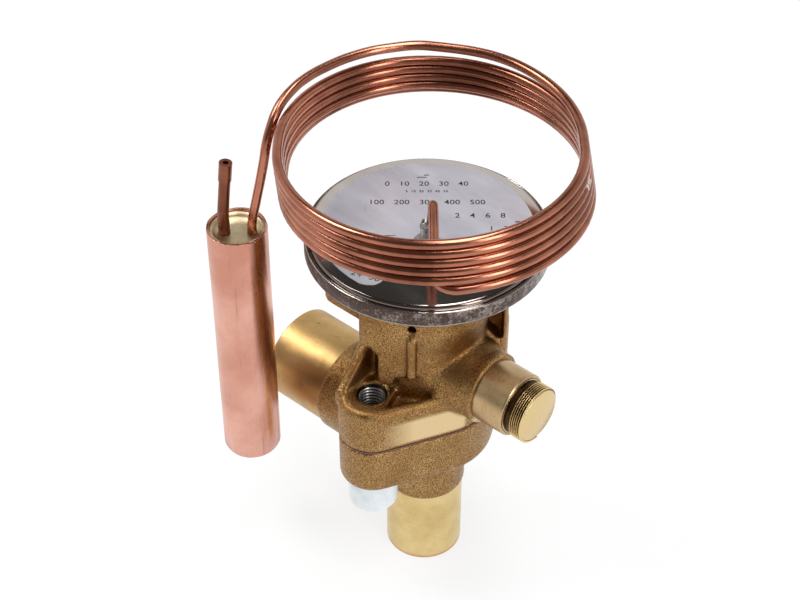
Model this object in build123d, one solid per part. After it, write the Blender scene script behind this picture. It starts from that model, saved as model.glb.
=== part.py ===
from build123d import *
import math
import os

# A thermostatic expansion valve with its sensing bulb. Sizes are in millimetres.
# Z runs up the valve's axis from the mouth of the inlet socket. The adjusting boss
# points along +X, the outlet along -X, and the two bolted lugs lie along Y.

# Lower casting
inlet_radius = 12.7
inlet_bore = 11.15
socket_depth = 22.0
collar_bottom = 30.0
collar_radius = 13.4
flange_bottom = 50.0
seam = 67.8
gasket_thickness = 0.5
bulge_radius = 22.4
lug_radius = 10.6
bolt_offset = 25.5
outlet_radius = 16.0
outlet_bore = 14.35
outlet_end = 57.0
outlet_height = 50.3
outlet_collar_radius = 16.8
outlet_collar = (-33, -10)
passage_radius = 9.0
flange_rounding = 3.0
bolt_clearance = 0.45

# Lug screws, their caps and the thread inserts
bolt_radius = 3.95
bolt_head_radius = 6.5
bolt_head_height = 8.0
bolt_key = 3.46
bolt_top = 76.5
cap_radius = 7.9
cap_bottom = 38.0
insert_outer = 4.72
insert_bore = 4.02
insert_bottom = 71.0

# Cage and seat
plug_radius = 9.9
plug_bottom = 34.0
plug_top = 44.0
orifice_radius = 4.6
cage_mouth = 8.0
cage_hollow = 7.4
cage_ceiling = 61.0
window_size = (30, 9, 13)
chamber_radius = 13.4
chamber_bottom = 52.0
cage_seat = 63.5
cage_flange_radius = 15.9
seal_inner = 8.9
seal_bottom = 40.0
seal_top = 41.6

# Upper casting
lug_top = 84.5
neck_radius = 19.2
neck_flare = 20.7
hole_rim = 6.6
neck_top = 122.0
spring_bore = 13.7
gear_bore = 12.9
gear_ledge = 91.0
guide_floor = 76.0
guide_top = 103.0
guide_radius = 4.5
guide_flat = 3.5
seal_floor = 71.5
boss_height = 85.3
boss_radius = 10.45
boss_collar = 11.9
boss_start = 27.4
boss_end = 38.8
plug_thread = 9.4
plug_relief = 8.7
plug_face = 45.4
equaliser_height = 95.5
equaliser_radius = 9.2
equaliser_end = 35.5
equaliser_bore = 3.2
ear_turn = 41.5

# Stem and spring
stem_radius = 2.0
stem_top = 125.6
valve_height = 6.0
spring_plate_bottom = 112.0
spring_wire = 0.9
spring_mean = 10.2
spring_turns = 4
seat_top = 99.5
seat_thread = 6.95

# Adjusting gears: a pinion on the spindle drives a ring of face teeth
pinion_teeth = 10
ring_teeth = 24
pinion_start = 9.3
pinion_end = 12.3
pinion_pitch = 4.5
addendum = 0.6
dedendum = 0.85
tooth_width = 1.05
shank_radius = 3.0
square_width = 4.2
packing_bore = 5.6
packing_start = 15.6
packing_end = 17.6
gland_radius = 7.0
gland_end = 26.5
flank = math.tan(math.radians(20))

# Head
head_radius = 37.2
head_plate = 134.35
plate_radius = 34.9
rim_crest = 133.1
rim_groove = 132.5
rim_bottom = 127.8
sheet_gauge = 1.3
clamp_radius = 33.0
diaphragm_bottom = 129.25
diaphragm_gauge = 0.2
label_radius = 32.3
label_chord = 25.6
label_gauge = 0.15
collar_base = 4.0

# Capillary coil, seen in a frame turned so that its run leaves along -Y
tube_radius = 1.5
riser_place = (0.6, -3.2)
riser_bend = 4.0
run_height = 146.5
run_offset = 1.25
corner_radius = 6.0
corner_height = 149.6
coil_turns = 5
coil_bottom = 150.9
coil_pitch = 3.02
coil_right = 47.6
coil_left = -42.35
right_step = 0.55
left_step = 0.25
front_centre = -1.6
back_centre = 1.7
lead_points = [
    (31.6, 33.4, 167.8),
    (1.0, 45.3, 169.5),
    (-29.4, 34.2, 169.8),
    (-40.4, 20.9, 169.5),
    (-44.6, 11.8, 168.0),
    (-46.4, 9.0, 163.5),
    (-47.7, 8.9, 157.0),
    (-49.4, 9.2, 148.5),
    (-51.5, 9.3, 138.0),
]
lead_landing = 128.0

# Bulb, in the coil's turned frame
bulb_place = (-58.1, 9.3)
bulb_radius = 9.5
bulb_bottom = 35.1
bulb_top = 128.0
bulb_wall = 0.9
cap_height = 125.2
lead_entry = -53.5
stub_entry = -62.0
stub_radius = 1.8
ferrule_radius = 2.05

low = (Align.CENTER, Align.CENTER, Align.MIN)
lug_sides = (-1, 1)


def rod(radius, bottom, top, x=0, y=0):
    """An upright cylinder."""
    return Pos(x, y, bottom) * Cylinder(radius, top - bottom, align=low)


def ring(outer, inner, bottom, top, x=0, y=0):
    """An upright ring."""
    return rod(outer, bottom, top, x, y) - rod(inner, bottom - 1, top + 1, x, y)


def bar(radius, start, end, height=boss_height):
    """A cylinder lying along X."""
    return Pos(start, 0, height) * Rot(0, 90, 0) * Cylinder(radius, end - start, align=low)


def taper(start_radius, end_radius, start, end, height=boss_height):
    """A cone lying along X."""
    return Pos(start, 0, height) * Rot(0, 90, 0) * Cone(start_radius, end_radius, end - start, align=low)


def turned(points):
    """A body turned about Z from half of its section, as (radius, height) points."""
    return revolve(make_face(Plane.XZ * Polyline(*points, close=True)), Axis.Z)


def flange_sketch(middle, end):
    """The outline shared by both castings: a round middle with a lug at each side."""
    circles = Circle(middle) + [Pos(0, side * bolt_offset) * Circle(end) for side in lug_sides]
    return make_hull(circles.edges())


def flange(middle, end, bottom, top):
    return Pos(0, 0, bottom) * extrude(flange_sketch(middle, end), top - bottom)


def in_coil_frame(shape):
    return Rot(0, 0, ear_turn) * shape


def top_edges(shape):
    return shape.edges().group_by(Axis.Z)[-1]


def bottom_edges(shape):
    return shape.edges().group_by(Axis.Z)[0]


def lower_body():
    """The lower casting carries the inlet and outlet sockets and the bolted flange."""
    plate = flange(bulge_radius, lug_radius, flange_bottom, seam)
    plate = fillet(bottom_edges(plate), flange_rounding)
    body = plate + rod(inlet_radius, 0, flange_bottom + 2)
    body += fillet(bottom_edges(rod(collar_radius, collar_bottom, flange_bottom + 2)), 0.6)
    body += bar(outlet_radius, -outlet_end, -4, outlet_height)
    body += bar(outlet_collar_radius, *outlet_collar, outlet_height)
    body -= rod(bulge_radius + 20, seam, seam + 20)
    body -= rod(inlet_bore, -1, socket_depth) + rod(passage_radius, socket_depth - 1, plug_bottom + 1)
    body -= rod(plug_radius + 0.05, plug_bottom, chamber_bottom + 1)
    body -= rod(chamber_radius, chamber_bottom, cage_seat + 1)
    body -= rod(cage_flange_radius + 0.1, cage_seat, seam + 1)
    body -= bar(outlet_bore, -outlet_end - 1, -outlet_end + socket_depth, outlet_height)
    body -= bar(passage_radius, -outlet_end + socket_depth - 1, 0, outlet_height + 4)
    for side in lug_sides:
        body -= rod(bolt_radius + bolt_clearance, flange_bottom - 1, seam + 1, y=side * bolt_offset)
    mouth = [edge for edge in bottom_edges(body) if edge.radius < inlet_bore + 0.1]
    return chamfer(mouth, 0.5)


def body_gasket():
    """A flat fibre gasket with the outline of the castings."""
    sheet = flange(bulge_radius - 0.3, lug_radius - 0.3, seam, seam + gasket_thickness)
    sheet -= rod(cage_flange_radius - 1.5, seam - 1, seam + 2)
    for side in lug_sides:
        sheet -= rod(bolt_radius + bolt_clearance + 0.1, seam - 1, seam + 2, y=side * bolt_offset)
    return sheet


def orifice_cage():
    """The turned cage: an orifice plug, four windows and a flange clamped at the seam."""
    body = rod(plug_radius, plug_bottom, cage_seat + 0.5)
    body += rod(cage_flange_radius, cage_seat + 0.5, seam)
    body -= rod(orifice_radius, plug_bottom - 1, plug_top + 1)
    body -= rod(cage_mouth, plug_bottom - 1, plug_top - valve_height)
    body -= rod(cage_hollow, plug_top, cage_ceiling)
    body -= rod(stem_radius + 0.06, cage_ceiling - 1, seam + 1)
    body -= ring(plug_radius + 1, seal_inner, seal_bottom - 0.1, seal_top + 0.1)
    for turn in (0, 90):
        body -= Rot(0, 0, 45 + turn) * Pos(0, 0, 53) * Box(*window_size)
    return body


def cage_gasket():
    return ring(cage_flange_radius - 0.1, chamber_radius, cage_seat, cage_seat + 0.5)


def plug_seal():
    """The O-ring of the plug, with its squeezed section."""
    return ring(plug_radius + 0.04, seal_inner + 0.01, seal_bottom, seal_top)


def valve_stem():
    """The stem ends in a cone below the orifice and opens it by moving down."""
    level = plug_top - valve_height
    section = [(0, -3.4), (4.4, -3.4), (5.6, -2.2), (4.2, 0.8), (0, 1.6)]
    cone = turned([(radius, level + height) for radius, height in section])
    return rod(stem_radius, level, stem_top) + cone


def spring_plate():
    """The upper spring plate is pinned to the stem by its hub."""
    bore = stem_radius + 0.02
    section = [(bore, 0), (12.6, 0), (12.6, 2), (5, 2), (4, 6), (bore, 6)]
    return turned([(radius, spring_plate_bottom + height) for radius, height in section])


def thrust_pad():
    """The dished pad between the diaphragm and the stem, whose end it takes in its hub."""
    bore, top = stem_radius + 0.02, diaphragm_bottom - 0.15
    dish = [(bore, 122.2), (6, 122.2), (15.5, 127.2), (15.5, top), (0, top)]
    return turned(dish + [(0, stem_top), (bore, stem_top)])


def semicircle(start, end, toward):
    """Half a turn between two points of a coil; toward is +1 or -1 along Y."""
    middle = (start + end) * 0.5 + Vector(0, toward * (end - start).length / 2, 0)
    return ThreePointArc(start, middle, end)


def tube_along(edges, radius):
    path = Wire(edges)
    return sweep(Plane(path @ 0, z_dir=path % 0) * Circle(radius), path=path)


def superheat_spring():
    """A round-wire spring with whole turns of two half circles each."""
    gap = spring_wire + 0.05
    bottom, top = seat_top + gap, spring_plate_bottom - gap
    halves = 2 * spring_turns
    points = []
    for half in range(halves + 1):
        side = 1 if half % 2 == 0 else -1
        points.append(Vector(side * spring_mean, 0, bottom + (top - bottom) * half / halves))
    edges = []
    for half in range(halves):
        edges.append(semicircle(points[half], points[half + 1], 1 if half % 2 == 0 else -1))
    return tube_along(edges, spring_wire)


def stem_guide():
    """The guide's upper part has two flats, which keep the spring seat from turning."""
    guide = rod(6.5, guide_floor, guide_floor + 3) + rod(guide_radius, guide_floor, guide_top)
    for side in lug_sides:
        guide -= Pos(0, side * (guide_flat + 2), 96) * Box(10, 4, 20)
    guide -= rod(stem_radius + 0.05, guide_floor - 1, guide_top + 1)
    return guide


def stem_seal():
    """The packing round the stem, under the guide."""
    return ring(5.9, stem_radius + 0.05, seal_floor, guide_floor)


def spring_seat():
    """A flanged nut: its flat-sided bore slides on the guide and its tube is threaded."""
    seat = rod(seat_thread, 88.6, seat_top - 2.5) + rod(12.4, seat_top - 2.5, seat_top)
    bore = rod(guide_radius + 0.1, 80, 110)
    for side in lug_sides:
        bore -= Pos(0, side * (guide_flat + 2.1), 95) * Box(12, 4, 40)
    return seat - bore


def tooth(base_width, tip_width, height, length):
    """A straight-flanked tooth standing on Z=0, its length along X."""
    half, tip = base_width / 2, tip_width / 2
    face = make_face(Plane.YZ * Polyline((-half, 0), (half, 0), (tip, height), (-tip, height), close=True))
    return extrude(face, length, dir=(1, 0, 0))


def adjusting_gear():
    """A threaded ring with face teeth below, which rests on the ledge in the neck."""
    pitch_plane = boss_height + pinion_pitch
    root, tip = pitch_plane + dedendum, pitch_plane - addendum
    gear = rod(spring_bore - 0.1, gear_ledge, 94) + rod(gear_bore - 0.2, root, gear_ledge)
    base = tooth_width + 2 * flank * dedendum
    one = Rot(180, 0, 0) * tooth(base, tooth_width - 2 * flank * addendum, root - tip + 0.05, 3.6)
    for number in range(ring_teeth):
        gear += Rot(0, 0, (number + 0.5) * 360 / ring_teeth) * Pos(9.0, 0, root + 0.05) * one
    return gear - rod(seat_thread + 0.1, 80, 100)


def adjusting_spindle():
    """The spindle has its pinion, a thrust collar, a round shank and a squared end."""
    root, shoulder = pinion_pitch - dedendum, pinion_end + 0.8
    spindle = bar(root, pinion_start, shoulder) + bar(packing_bore - 0.15, shoulder, packing_start - 0.1)
    spindle += bar(shank_radius, packing_start - 0.6, boss_start - 0.4)
    square = Box(5.5, square_width, square_width, align=(Align.MIN, Align.CENTER, Align.CENTER))
    spindle += Pos(boss_start - 0.4, 0, boss_height) * square
    base, tip = tooth_width + 2 * flank * dedendum, tooth_width - 2 * flank * addendum
    one = Pos(0, 0, root - 0.1) * tooth(base, tip, addendum + dedendum + 0.1, pinion_end - pinion_start)
    for number in range(pinion_teeth):
        spindle += Pos(pinion_start, 0, boss_height) * Rot(number * 360 / pinion_teeth, 0, 0) * one
    return spindle


def spindle_packing():
    return bar(packing_bore, packing_start, packing_end) - bar(shank_radius + 0.06, 15, 18)


def gland_nut():
    """The gland nut has two slots across its outer face."""
    nut = bar(gland_radius, packing_end, gland_end) - bar(shank_radius + 0.06, 17, 27)
    return nut - Pos(gland_end - 0.5, 0, boss_height) * Box(2, 20, 2.4)


def seal_plug():
    """A round plug, threaded over its length, with a relief groove at the boss's face."""
    plug = bar(plug_thread, 33.5, boss_end) + bar(plug_relief, boss_end, boss_end + 1.7)
    outer = bar(plug_thread, boss_end + 1.7, plug_face)
    outer = chamfer(outer.edges().sort_by(Axis.X)[-1], 0.6)
    return plug + outer


def ear_pad():
    """The flat pad on the neck, with the concave step at its lower left corner."""
    left, right, step = -20.6, -5.2, -14.9
    outline = Polyline((left, 104), (left, 121.9), (right, 121.9), (right, 88), (step, 88), (step, 97))
    corner = ThreePointArc((step, 97), (-16.7, 102.4), (left, 104))
    pad = Pos(0, -19.5, 0) * extrude(make_face(Plane.XZ * (outline + corner)), 14, dir=(0, 1, 0))
    return fillet([edge for edge in pad.edges().filter_by(Axis.Z) if edge.center().X < left + 0.5], 3.0)


def right_ear():
    """The ear behind the adjusting boss, with a D-shaped pocket in its face."""
    ear = Pos(19.25, 3, 103) * Box(12.5, 15, 37.8)
    ear = fillet([edge for edge in ear.edges().filter_by(Axis.Z) if edge.center().X > 25], 2.5)
    straight = Line((23.9, 92.5), (23.9, 117))
    curve = ThreePointArc((23.9, 117), (18.2, 109), (23.9, 92.5))
    return ear - Pos(0, -6, 0) * extrude(make_face(Plane.XZ * (straight + curve)), 7, dir=(0, 1, 0))


def gusset():
    """The web from the lug's rim up to the pad."""
    outline = Polyline((-33, 80), (-33, lug_top), (-17, 101), (-12, 101), (-12, 80), close=True)
    side = make_face(Plane.YZ * outline)
    return Pos(-9.2, 0, 0) * extrude(side, 3.4, dir=(1, 0, 0))


def lug_pocket():
    """The sunk three-cornered floor between the rim, the hole and the neck."""
    corners = Polyline((7.2, -27.5), (10.4, -22.4), (15.6, -12.9), (4.6, -18.9), close=True)
    return Pos(0, 0, 80.8) * extrude(make_face(corners), 10)


def upper_body():
    """The upper casting: lugs, neck with ears, adjusting boss and equaliser boss."""
    base_bottom = seam + gasket_thickness
    base = flange(bulge_radius, lug_radius, base_bottom, lug_top)
    base = fillet(top_edges(base), 2.2)
    body = base + rod(neck_radius, base_bottom + 1, neck_top)
    body += turned([(0, 100), (neck_radius, 100), (neck_flare, 108), (neck_flare, neck_top), (0, neck_top)])
    body += in_coil_frame(ear_pad()) + in_coil_frame(right_ear())
    body += in_coil_frame(Pos(-4.7, -19.6, 100.2) * Box(2.8, 4, 16.4))
    web = gusset()
    body += web + mirror(web, Plane.XZ)
    body += taper(15.5, 11.6, 10, 24.6) + bar(boss_collar, 24.4, boss_start)
    body += bar(boss_radius, boss_start - 1, boss_end)
    body += bar(equaliser_radius, -equaliser_end, -10, equaliser_height)
    for side in lug_sides:
        body += ring(hole_rim, 4, 75, lug_top, y=side * bolt_offset)
    pocket = lug_pocket()
    body -= pocket + mirror(pocket, Plane.XZ)
    body -= rod(5.95, base_bottom - 1, guide_floor + 1)
    body -= rod(gear_bore, guide_floor, gear_ledge + 1)
    body -= rod(spring_bore, gear_ledge, neck_top + 1)
    body -= bar(packing_bore, 5, packing_end) + bar(gland_radius + 0.05, packing_end, boss_start)
    body -= bar(plug_thread + 0.05, boss_start, 50)
    body -= bar(2.2, -equaliser_end - 1, -10, equaliser_height)
    body -= bar(equaliser_bore, -equaliser_end - 1, -equaliser_end + 10, equaliser_height)
    body -= in_coil_frame(Pos(-4.6, -18, 111) * Rot(90, 0, 0) * Cylinder(1.35, 8))
    for side in lug_sides:
        body -= rod(insert_outer + 0.03, base_bottom - 1, lug_top + 1, y=side * bolt_offset)
    return body


def thread_inserts():
    """Steel thread inserts line the tapped holes of the lugs."""
    top = lug_top - 0.8
    return [ring(insert_outer, insert_bore, insert_bottom, top, y=side * bolt_offset) for side in lug_sides]


def flange_bolts():
    """Cap screws enter from below; their heads lie in the white caps."""
    bolts = []
    for side in lug_sides:
        y = side * bolt_offset
        bolt = rod(bolt_head_radius, flange_bottom - bolt_head_height, flange_bottom, y=y)
        bolt += rod(bolt_radius, flange_bottom - 1, bolt_top, y=y)
        key = extrude(RegularPolygon(bolt_key, 6), 4.5)
        socket = Pos(0, y, flange_bottom - bolt_head_height - 0.5) * key
        bolts.append(bolt - socket)
    return bolts


def bolt_caps():
    """Plastic caps pushed over the heads of the cap screws."""
    caps = []
    for side in lug_sides:
        y = side * bolt_offset
        cap = fillet(bottom_edges(rod(cap_radius, cap_bottom, flange_bottom, y=y)), 1.2)
        caps.append(cap - rod(bolt_head_radius + 0.05, cap_bottom + 2, flange_bottom + 1, y=y))
    return caps


def head_lower_cup():
    """The pressed cup under the diaphragm, seated on the neck."""
    hole, edge = spring_bore + 0.1, head_radius - sheet_gauge - 0.1
    outside = [(hole, neck_top), (20.6, neck_top), (30, rim_bottom), (edge, rim_bottom)]
    inside = [(edge, diaphragm_bottom), (29.6, diaphragm_bottom), (20.2, neck_top + 1.4), (hole, neck_top + 1.4)]
    return turned(outside + inside)


def diaphragm():
    return rod(head_radius - sheet_gauge - 0.1, diaphragm_bottom, diaphragm_bottom + diaphragm_gauge)


def head_top_cover():
    """The pressed cover: a raised flat plate, a narrow groove and a rim folded round the cup."""
    inside = head_radius - sheet_gauge
    clamp_height = diaphragm_bottom + diaphragm_gauge + 0.05
    ceiling = head_plate - sheet_gauge
    groove = (inside + 0.1, rim_groove)
    crest = (head_radius - 0.35, rim_crest)
    shoulder_end = (inside, rim_groove + 0.6)
    plate = Polyline((0, ceiling), (0, head_plate), (plate_radius, head_plate))
    shoulder = ThreePointArc((plate_radius, head_plate), (inside - 0.25, head_plate - 0.35), shoulder_end)
    lip = Polyline(shoulder_end, groove, (groove[0] + 0.25, rim_groove), crest)
    wall = Polyline(
        crest,
        (head_radius, rim_crest - 0.35),
        (head_radius, rim_bottom),
        (inside, rim_bottom),
        (inside, clamp_height),
        (clamp_radius, clamp_height),
        (clamp_radius - 1.5, ceiling),
        (0, ceiling),
    )
    cover = revolve(make_face(Plane.XZ * (plate + shoulder + lip + wall)), Axis.Z)
    return cover - in_coil_frame(rod(tube_radius + 0.05, ceiling - 1, head_plate + 1, *riser_place))


def capillary_collar():
    """The soldered collar round the tube where it enters the head."""
    section = [(tube_radius, 0), (collar_base, 0), (collar_base, 0.9)]
    section += [(3.2, 2.1), (2.3, 4.0), (1.8, 6.2), (tube_radius, 6.2)]
    collar = turned([(radius, head_plate + height) for radius, height in section])
    return in_coil_frame(Pos(*riser_place, 0) * collar)


def head_label():
    """The label is a disc with one side cut straight and a hole for the collar."""
    disc = Circle(label_radius) - Pos(*riser_place) * Circle(collar_base + 0.5)
    disc -= Pos(0, -label_chord - 20) * Rectangle(80, 40)
    corners = [point for point in disc.vertices() if abs(point.Y + label_chord) < 0.01]
    disc = fillet(corners, 2.5)
    return in_coil_frame(Pos(0, 0, head_plate) * extrude(disc, label_gauge))


def riser_edges():
    """The tube rises from the head and bends over along -Y."""
    x, y = riser_place
    top = Vector(x, y, run_height - riser_bend)
    middle = top + Vector(0, -riser_bend * (1 - math.sqrt(0.5)), riser_bend * math.sqrt(0.5))
    end = top + Vector(0, -riser_bend, riser_bend)
    return [Line(Vector(x, y, head_plate - sheet_gauge - 1), top), ThreePointArc(top, middle, end)]


def first_quarter_edges(run_start):
    """The run and the corner where it joins the coil's first, widest quarter turn."""
    radius = (coil_right - coil_left) / 2
    centre_x = coil_right - radius
    hub_x = run_offset + corner_radius
    reach = radius - corner_radius
    hub_y = front_centre - math.sqrt(reach**2 - (hub_x - centre_x) ** 2)
    slope = (coil_bottom - corner_height) / (coil_right - run_offset)

    def sloped(x, y):
        return Vector(x, y, corner_height + slope * (x - run_offset))

    def on_circle(x, y, size, angle):
        return sloped(x + size * math.cos(angle), y + size * math.sin(angle))

    join = math.atan2(hub_y - front_centre, hub_x - centre_x)
    run_end = sloped(run_offset, hub_y)
    down = Vector(0, -1, 0)
    run = Spline(run_start, run_end, tangents=[down, down])
    corner = ThreePointArc(
        run_end,
        on_circle(hub_x, hub_y, corner_radius, (join - math.pi) / 2),
        on_circle(hub_x, hub_y, corner_radius, join),
    )
    quarter = ThreePointArc(
        corner @ 1,
        on_circle(centre_x, front_centre, radius, join / 2),
        on_circle(centre_x, front_centre, radius, 0),
    )
    return [run, corner, quarter]


def coil_edges():
    """The turns are half circles with a short straight at each side between them."""
    edges = []
    place = Vector(coil_right, front_centre, coil_bottom)
    for half in range(2 * coil_turns):
        behind = half % 2 == 0
        turn = (half + 1) // 2
        x = coil_left - left_step * (turn + 1) if behind else coil_right - right_step * turn
        centre_y, toward = (back_centre, 1) if behind else (front_centre, -1)
        start = Vector(place.X, centre_y, place.Z)
        end = Vector(x, centre_y, place.Z + coil_pitch / 2)
        edges += [Line(place, start), semicircle(start, end, toward)]
        place = end
    return edges + [Line(place, Vector(place.X, back_centre, place.Z))]


def lead_edges(start):
    """The lead follows the coil round the back, bends down and leans out to the bulb."""
    landing = Vector(lead_entry, bulb_place[1], lead_landing)
    down = Vector(0, 0, -1)
    curve = Spline(start, *lead_points, landing, tangents=[Vector(0, 1, 0), down])
    return [curve, Line(landing, Vector(landing.X, landing.Y, cap_height - 3.0))]


def capillary_tube():
    """The tube rises from the head, runs out, winds up the coil and falls to the bulb."""
    edges = riser_edges()
    edges += first_quarter_edges(edges[-1] @ 1)
    edges += coil_edges()
    edges += lead_edges(edges[-1] @ 1)
    return in_coil_frame(tube_along(edges, tube_radius))


def bulb_shell():
    """A drawn copper shell with a rounded closed bottom and a curled top edge."""
    x, y = bulb_place
    shell = fillet(bottom_edges(rod(bulb_radius, bulb_bottom, bulb_top, x, y)), 1.6)
    shell -= fillet(bottom_edges(rod(bulb_radius - bulb_wall, bulb_bottom + 1.2, bulb_top + 1, x, y)), 0.8)
    return in_coil_frame(shell)


def bulb_cap():
    """A dished brass cap inside the bulb's rim, with holes for the two tubes."""
    x, y = bulb_place
    inside = bulb_radius - bulb_wall - 0.02
    dish = turned([(0, 124.0), (inside - 1.6, 124.0), (inside, 122.4), (inside, 127.2),
                   (inside - 0.9, 127.2), (inside - 1.5, 125.2), (0, 125.2)])
    dish = Pos(x, y, 0) * dish
    dish -= rod(tube_radius + 0.02, 120, 130, lead_entry, y)
    dish -= rod(stub_radius + 0.02, 120, 130, stub_entry, y)
    return in_coil_frame(dish)


def fill_stub():
    """The charging tube, bent a little outwards above the cap."""
    y = bulb_place[1]
    lower = Line((stub_entry, y, 122.6), (stub_entry, y, 132))
    lean = math.radians(6)
    bend = 20.0
    arc_middle = Vector(stub_entry + bend * (1 - math.cos(lean / 2)), y, 132 + bend * math.sin(lean / 2))
    arc_end = Vector(stub_entry + bend * (1 - math.cos(lean)), y, 132 + bend * math.sin(lean))
    arc = ThreePointArc(Vector(stub_entry, y, 132), arc_middle, arc_end)
    along = Vector(math.sin(lean), 0, math.cos(lean))
    upper = Line(arc_end, arc_end + along * 13)
    tube = tube_along([lower, arc, upper], stub_radius)
    tube -= Pos(stub_entry, y, 120) * Cylinder(1.0, 20)
    return in_coil_frame(tube), arc_end + along * 13, along


def stub_ferrule(start, along):
    """The crimped sleeve that closes the charging tube."""
    sleeve = Plane(start - along * 1.5, z_dir=along) * Cylinder(ferrule_radius, 6.4, align=low)
    sleeve -= Plane(start - along * 1.5, z_dir=along) * Cylinder(stub_radius + 0.02, 1.5, align=low)
    sleeve -= Plane(start + along * 3.4, z_dir=along) * Cylinder(0.9, 3, align=low)
    return in_coil_frame(sleeve)


def write(name, shape):
    solids = shape if isinstance(shape, list) else [shape]
    export_step(Compound(children=solids) if len(solids) > 1 else solids[0], "parts/" + name + ".step")


def main():
    os.makedirs("parts", exist_ok=True)
    stub, stub_end, stub_along = fill_stub()
    makers = [
        lower_body, body_gasket, orifice_cage, cage_gasket, plug_seal, valve_stem, spring_plate, thrust_pad,
        superheat_spring, stem_guide, stem_seal, spring_seat, adjusting_gear, adjusting_spindle,
        spindle_packing, gland_nut, seal_plug, upper_body, thread_inserts, flange_bolts, bolt_caps,
        head_lower_cup, diaphragm, head_top_cover, head_label, capillary_collar, capillary_tube,
        bulb_shell, bulb_cap,
    ]
    for maker in makers:
        write(maker.__name__, maker())
    write("fill_stub", stub)
    write("stub_ferrule", stub_ferrule(stub_end, stub_along))


main()
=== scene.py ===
import bmesh
import bpy
import math
from mathutils import Matrix, Vector, noise


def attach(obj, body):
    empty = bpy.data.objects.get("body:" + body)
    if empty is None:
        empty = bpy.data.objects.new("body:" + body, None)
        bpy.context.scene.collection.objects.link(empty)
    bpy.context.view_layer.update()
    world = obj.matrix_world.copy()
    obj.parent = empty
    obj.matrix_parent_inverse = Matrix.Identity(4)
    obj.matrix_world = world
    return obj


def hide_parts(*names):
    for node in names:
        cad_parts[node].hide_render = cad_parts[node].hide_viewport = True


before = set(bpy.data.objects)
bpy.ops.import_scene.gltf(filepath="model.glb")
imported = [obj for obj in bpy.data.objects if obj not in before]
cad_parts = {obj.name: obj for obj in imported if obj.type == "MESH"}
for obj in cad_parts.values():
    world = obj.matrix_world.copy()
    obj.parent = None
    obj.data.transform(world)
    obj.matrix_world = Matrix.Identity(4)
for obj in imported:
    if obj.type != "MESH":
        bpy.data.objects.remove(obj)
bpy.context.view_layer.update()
mm = 0.001
# The coil and the label are turned about the valve's axis.
coilTurn = Matrix.Rotation(math.radians(41.5), 4, "Z")
riser = Vector((-0.3, -6.2, 0))  # where the tube leaves the head, in that turned frame


# Shader sums: a socket that can stand in an expression.
class Value:
    def __init__(self, nodes, socket):
        self.nodes = nodes
        self.socket = socket

    def sum(self, operation, *others):
        return self.nodes.make("ShaderNodeMath", {"operation": operation}, [self, *others])

    def __add__(self, other):
        return self.sum("ADD", other)

    def __radd__(self, other):
        return self.sum("ADD", other)

    def __sub__(self, other):
        return self.sum("SUBTRACT", other)

    def __rsub__(self, other):
        return self.nodes.make("ShaderNodeMath", {"operation": "SUBTRACT"}, [other, self])

    def __mul__(self, other):
        return self.sum("MULTIPLY", other)

    def __rmul__(self, other):
        return self.sum("MULTIPLY", other)

    def __truediv__(self, other):
        return self.sum("DIVIDE", other)

    def power(self, other):
        return self.sum("POWER", other)

    def above(self, other):
        return self.sum("MAXIMUM", other)


# The nodes of one tree, a material's or the world's.
class Nodes:
    def __init__(self, tree):
        self.tree = tree

    # Any node: its type, its settings, its inputs by name or in order, and the output wanted.
    def make(self, kind, settings=None, inputs=(), output=0):
        node = self.tree.nodes.new(kind)
        for key, value in (settings or {}).items():
            setattr(node, key, value)
        pairs = inputs.items() if isinstance(inputs, dict) else enumerate(inputs)
        for key, value in pairs:
            if isinstance(value, Value):
                self.tree.links.new(value.socket, node.inputs[key])
            elif value is not None:
                node.inputs[key].default_value = value
        return Value(self, node.outputs[output])

    def place(self):
        return self.make("ShaderNodeTexCoord", output="Object")

    def parts(self, vector):
        node = self.tree.nodes.new("ShaderNodeSeparateXYZ")
        self.tree.links.new(vector.socket, node.inputs[0])
        return [Value(self, node.outputs[axis]) for axis in range(3)]

    def stretched(self, scale, turn=(0, 0, 0)):
        inputs = {"Vector": self.place(), "Scale": scale, "Rotation": turn}
        return self.make("ShaderNodeMapping", inputs=inputs)

    def grain(self, scale, detail=3.0, rough=0.55, vector=None, distortion=0.0):
        inputs = {"Scale": scale, "Detail": detail, "Roughness": rough, "Distortion": distortion}
        inputs["Vector"] = vector or self.place()
        return self.make("ShaderNodeTexNoise", inputs=inputs, output="Fac")

    def cells(self, scale):
        inputs = {"Vector": self.place(), "Scale": scale}
        return self.make("ShaderNodeTexVoronoi", inputs=inputs, output="Distance")

    def spread(self, value, low, high, toLow=0.0, toHigh=1.0):
        return self.make("ShaderNodeMapRange", {"clamp": True}, {
            "Value": value, "From Min": low, "From Max": high, "To Min": toLow, "To Max": toHigh})

    # Between two colours: a colour mix takes inputs 0, 6 and 7 and gives output 2.
    def blend(self, factor, first, second):
        return self.make("ShaderNodeMix", {"data_type": "RGBA"}, {0: factor, 6: first, 7: second}, output=2)

    # One when the ray is of this kind.
    def ray(self, kind):
        return self.make("ShaderNodeLightPath", output=kind)


class Finish(Nodes):
    def __init__(self, name, **shaderValues):
        self.material = bpy.data.materials.new(name)
        self.material.use_nodes = True
        super().__init__(self.material.node_tree)
        self.shader = self.tree.nodes["Principled BSDF"]
        for socket, value in shaderValues.items():
            self.shader.inputs[socket].default_value = value

    def feed(self, socket, value):
        self.tree.links.new(value.socket, self.shader.inputs[socket])

    def bump(self, height, strength, depth):
        inputs = {"Strength": strength, "Distance": depth, "Height": height}
        self.feed("Normal", self.make("ShaderNodeBump", inputs=inputs, output="Normal"))


def rgb(red, green, blue):
    linear = [((c / 255 + 0.055) / 1.055) ** 2.4 if c > 10 else c / 255 / 12.92 for c in (red, green, blue)]
    return (*linear, 1.0)


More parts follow.
